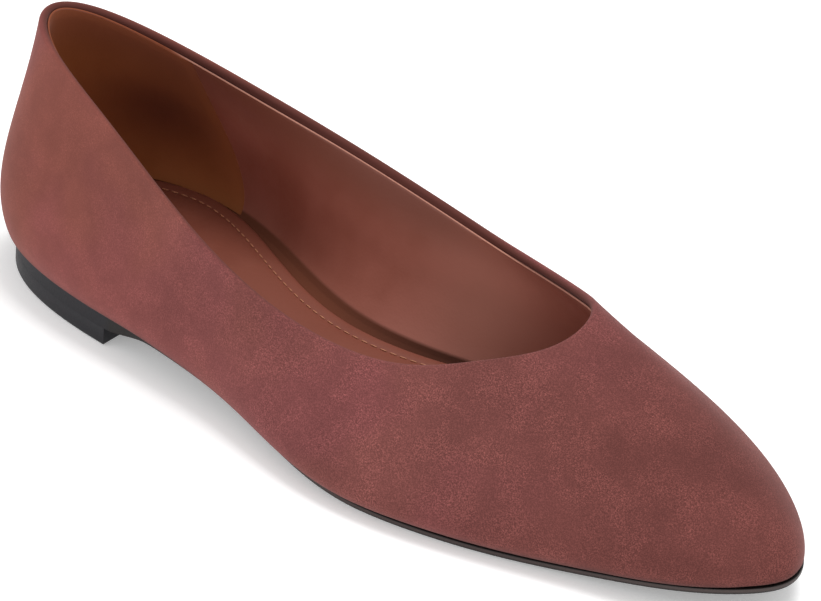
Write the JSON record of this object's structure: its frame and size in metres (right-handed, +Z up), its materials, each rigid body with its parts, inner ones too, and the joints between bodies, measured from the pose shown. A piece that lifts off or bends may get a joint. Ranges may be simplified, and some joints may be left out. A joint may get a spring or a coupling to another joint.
{
  "type": "suede flat pump",
  "caption": "Women's slip-on flat pump for the right foot, with an almond toe, a high-cut throat, a leather lining and a low block heel.",
  "frame": {"origin": "middle of the heel's ground face", "axes": "+X towards the toe, +Y towards the wearer's left (the inner side of the foot), +Z up"},
  "size_m": [0.2537, 0.0849, 0.0636],
  "materials": {
    "suede": "brushed rose-brown suede with a short cloudy nap, matte",
    "lining_leather": "smooth lining leather with a fine grain and a soft sheen",
    "grip_suede": "brown reversed leather of the heel grip, matte",
    "sock_leather": "smooth brown sock leather over thin foam",
    "sock_thread": "tan sewing thread with a slight shine",
    "sole_rubber": "matte black moulded sole",
    "heel_rubber": "satin black heel block"
  },
  "bodies": {
    "root": {"upper": "suede", "insole": "sock_leather", "outsole": "sole_rubber", "heel": "heel_rubber"}
  },
  "joints": []
}
